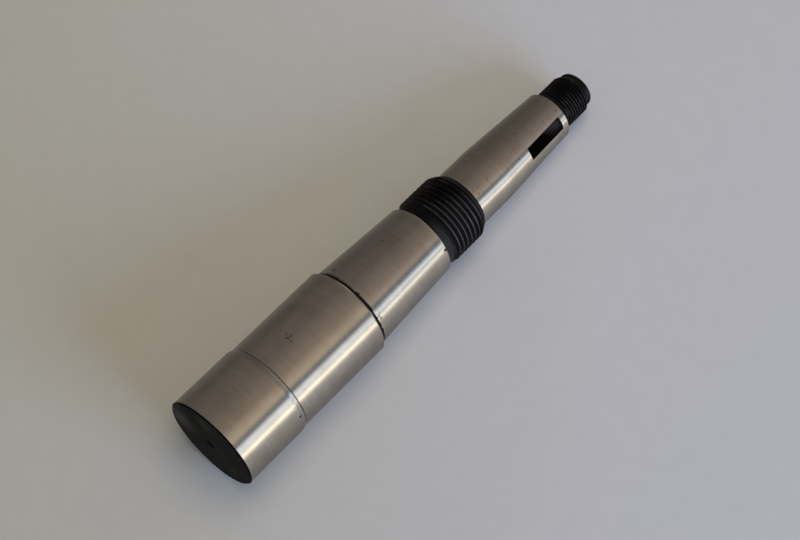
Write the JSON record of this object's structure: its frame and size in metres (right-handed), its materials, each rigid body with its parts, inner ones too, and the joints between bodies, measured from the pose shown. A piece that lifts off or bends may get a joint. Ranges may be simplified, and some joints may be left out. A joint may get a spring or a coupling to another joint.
{
  "type": "tapered spindle shaft",
  "caption": "Turned and ground steel spindle with a bearing journal, two tapers, two screw threads, a half-moon keyseat and a pilot.",
  "frame": {"origin": "centre of the big end face, where the spindle stands", "axes": "+Z along the spindle's axis, from the big end to the small end; the keyseat opens towards -Y"},
  "size_m": [0.035, 0.035, 0.1862],
  "materials": {
    "steel": "cylindrically ground, with black oxide left on the threads, undercut, keyseat and end faces"
  },
  "bodies": {
    "root": {"spindle": "steel"}
  },
  "joints": []
}
